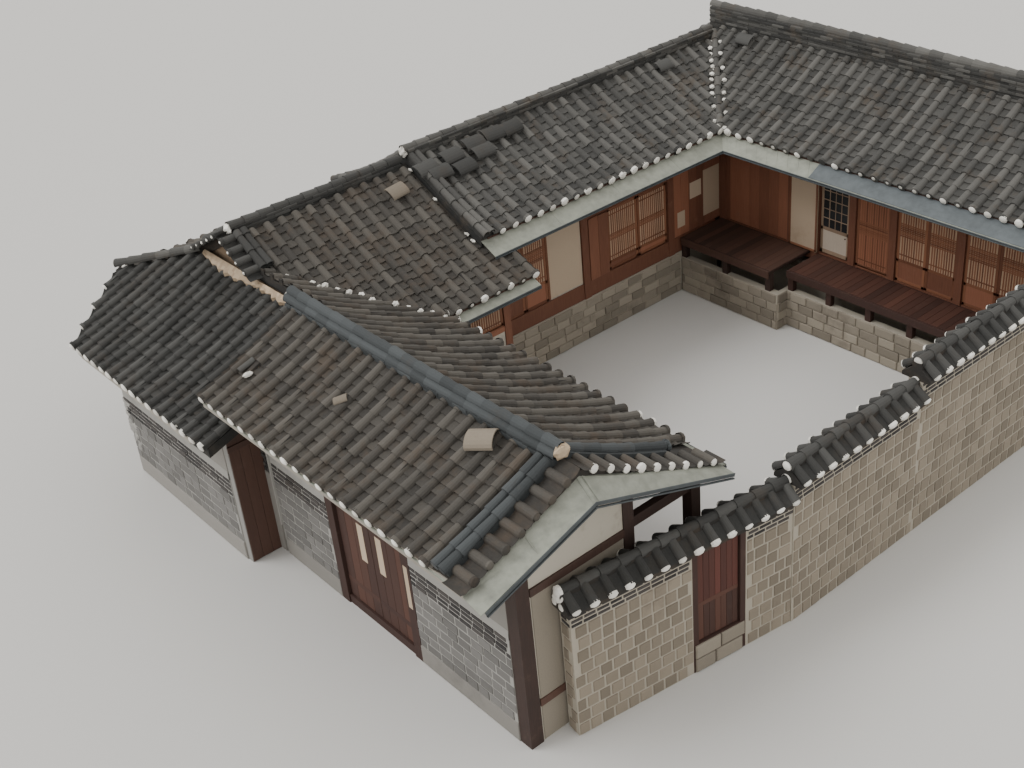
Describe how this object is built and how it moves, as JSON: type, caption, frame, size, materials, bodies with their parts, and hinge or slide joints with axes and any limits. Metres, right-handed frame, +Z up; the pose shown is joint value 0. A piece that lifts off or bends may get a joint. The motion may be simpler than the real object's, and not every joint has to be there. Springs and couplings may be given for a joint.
{
  "type": "courtyard house",
  "caption": "One-storey courtyard house with curved grey tile roofs round three sides of a yard, a wooden street gate, and a tile-capped stone garden wall with a side gate.",
  "frame": {"origin": "middle of the house's outline on the lowest street ground", "axes": "+X along the street toward the garden wall, +Y from the street into the plot, +Z up"},
  "size_m": [11.88, 16.19, 4.94],
  "materials": {
    "roof_tile": "matt, weathered",
    "ridge_tile": "matt, newer tile",
    "sheet_metal": "dull, grey-green",
    "stonework": "rough",
    "plaster": "matt",
    "mortar": "matt",
    "paper": "matt",
    "lattice_wood": "satin, worn",
    "dark_wood": "matt, worn",
    "painted_wood": "satin, worn"
  },
  "bodies": {
    "house": {"back_wing_base": "stonework", "back_wing_end_boards": "painted_wood", "back_wing_floor": "dark_wood", "back_wing_frame": "painted_wood", "back_wing_lattice": "lattice_wood", "back_wing_plaster": "plaster", "corner_deck": "dark_wood", "deck": "painted_wood", "deck_base": "stonework", "front_ridge": "ridge_tile", "front_roof": "roof_tile", "front_yard_apron": "sheet_metal", "front_yard_wall": "painted_wood", "gable_apron": "sheet_metal", "gable_wall": "plaster", "garden_cap_far": "roof_tile", "garden_cap_middle": "roof_tile", "garden_cap_near": "roof_tile", "garden_wall_beside_gate": "stonework", "garden_wall_far": "stonework", "garden_wall_middle": "stonework", "garden_wall_near": "stonework", "left_front_roof": "roof_tile", "left_return_wall": "painted_wood", "left_street_wall": "stonework", "lower_back_apron": "sheet_metal", "lower_back_ridge": "roof_tile", "lower_back_roof": "roof_tile", "lower_wing_wall": "painted_wood", "main_corner_boards": "painted_wood", "main_end_wall": "plaster", "main_gate_frame": "painted_wood", "main_lattice_fixed": "lattice_wood", "main_lattice_pair_far": "lattice_wood", "main_lattice_pair_near": "lattice_wood", "main_ridge": "roof_tile", "main_roof": "roof_tile", "main_wall_panel": "painted_wood", "main_wing_base": "stonework", "main_wing_floor": "dark_wood", "main_wing_frame": "painted_wood", "party_wall": "plaster", "porch_frame": "dark_wood", "roof_step_wall": "mortar", "side_gate_frame": "painted_wood", "street_apron": "sheet_metal", "street_corner_post": "dark_wood", "street_wall_left": "stonework", "street_wall_right": "stonework", "upper_back_ridge": "roof_tile", "upper_back_roof": "roof_tile", "yard_apron": "sheet_metal"},
    "main_gate_leaf_left": {"main_gate_leaf_left": "painted_wood"},
    "main_gate_leaf_right": {"main_gate_leaf_right": "painted_wood"},
    "side_gate_leaf": {"side_gate_leaf": "painted_wood"},
    "papered_door_leaf": {"papered_door_leaf": "paper"},
    "glazed_door_leaf": {"glazed_door_leaf": "lattice_wood"},
    "back_door_leaf_near": {"back_door_leaf_near": "lattice_wood"},
    "back_door_leaf_far": {"back_door_leaf_far": "lattice_wood"}
  },
  "joints": [
    {"name": "main_gate_left_hinge", "type": "hinge", "parent": "house", "child": "main_gate_leaf_left", "pos_m": [0.908, -7.015, 1], "axis": [0, 0, 1], "range_deg": [0, 88]},
    {"name": "main_gate_right_hinge", "type": "hinge", "parent": "house", "child": "main_gate_leaf_right", "pos_m": [2.472, -7.015, 1], "axis": [0, 0, 1], "range_deg": [-88, 0]},
    {"name": "side_gate_hinge", "type": "hinge", "parent": "house", "child": "side_gate_leaf", "pos_m": [5.60429, -3.83122, 1], "axis": [0, 0, 1], "range_deg": [0, 88]},
    {"name": "papered_door_hinge", "type": "hinge", "parent": "house", "child": "papered_door_leaf", "pos_m": [0.37, 4.325, 2], "axis": [0, 0, 1], "range_deg": [0, 175]},
    {"name": "glazed_door_hinge", "type": "hinge", "parent": "house", "child": "glazed_door_leaf", "pos_m": [1.042, 4.435, 2], "axis": [0, 0, 1], "range_deg": [-85, 0]},
    {"name": "back_door_near_hinge", "type": "hinge", "parent": "house", "child": "back_door_leaf_near", "pos_m": [-2.135, 1.293, 1.5], "axis": [0, 0, 1], "range_deg": [-88, 0]},
    {"name": "back_door_far_hinge", "type": "hinge", "parent": "house", "child": "back_door_leaf_far", "pos_m": [-2.135, 2.827, 1.5], "axis": [0, 0, 1], "range_deg": [0, 88]}
  ]
}
